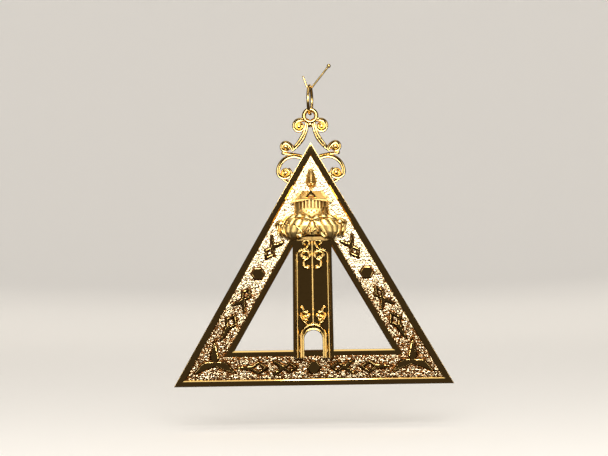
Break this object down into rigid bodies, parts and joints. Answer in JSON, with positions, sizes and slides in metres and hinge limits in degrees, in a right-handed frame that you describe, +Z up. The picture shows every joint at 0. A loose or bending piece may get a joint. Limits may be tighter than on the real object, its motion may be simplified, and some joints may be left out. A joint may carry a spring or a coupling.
{
  "type": "masonic jewel",
  "caption": "Triangular gilt collar jewel with matted ground, raised ornaments, a tower relief and a scrolled hanger, swinging on a jump ring from a bent hanging wire.",
  "frame": {"origin": "middle of the hanging wire at the bottom of its bend, where the jump ring hangs", "axes": "+X to the right of the jewel, -Y out of its front, +Z up"},
  "size_m": [0.076, 0.0103, 0.0869],
  "materials": {
    "plate_gilt": "polished gilt rims and ornaments over a stippled, matted ground",
    "tower_gilt": "polished gilt casting",
    "hanger_gilt": "polished gilt casting, darker in its grooves",
    "ring_gilt": "polished gilt wire",
    "wire_gilt": "plain gilt wire"
  },
  "bodies": {
    "hanging_wire": {"hook_wire": "wire_gilt"},
    "ring": {"jump_ring": "ring_gilt"},
    "jewel": {"plate": "plate_gilt", "tower": "tower_gilt", "scroll_hanger": "hanger_gilt"}
  },
  "joints": [
    {"name": "ring_swing", "type": "hinge", "parent": "hanging_wire", "child": "ring", "pos_m": [0, 0, 0], "axis": [0.9903, -0.1392, 0], "range_deg": [-75, 75]},
    {"name": "jewel_swing", "type": "hinge", "parent": "ring", "child": "jewel", "pos_m": [0, 0, -0.00688], "axis": [0.1392, 0.9903, 0], "range_deg": [-75, 75]}
  ]
}
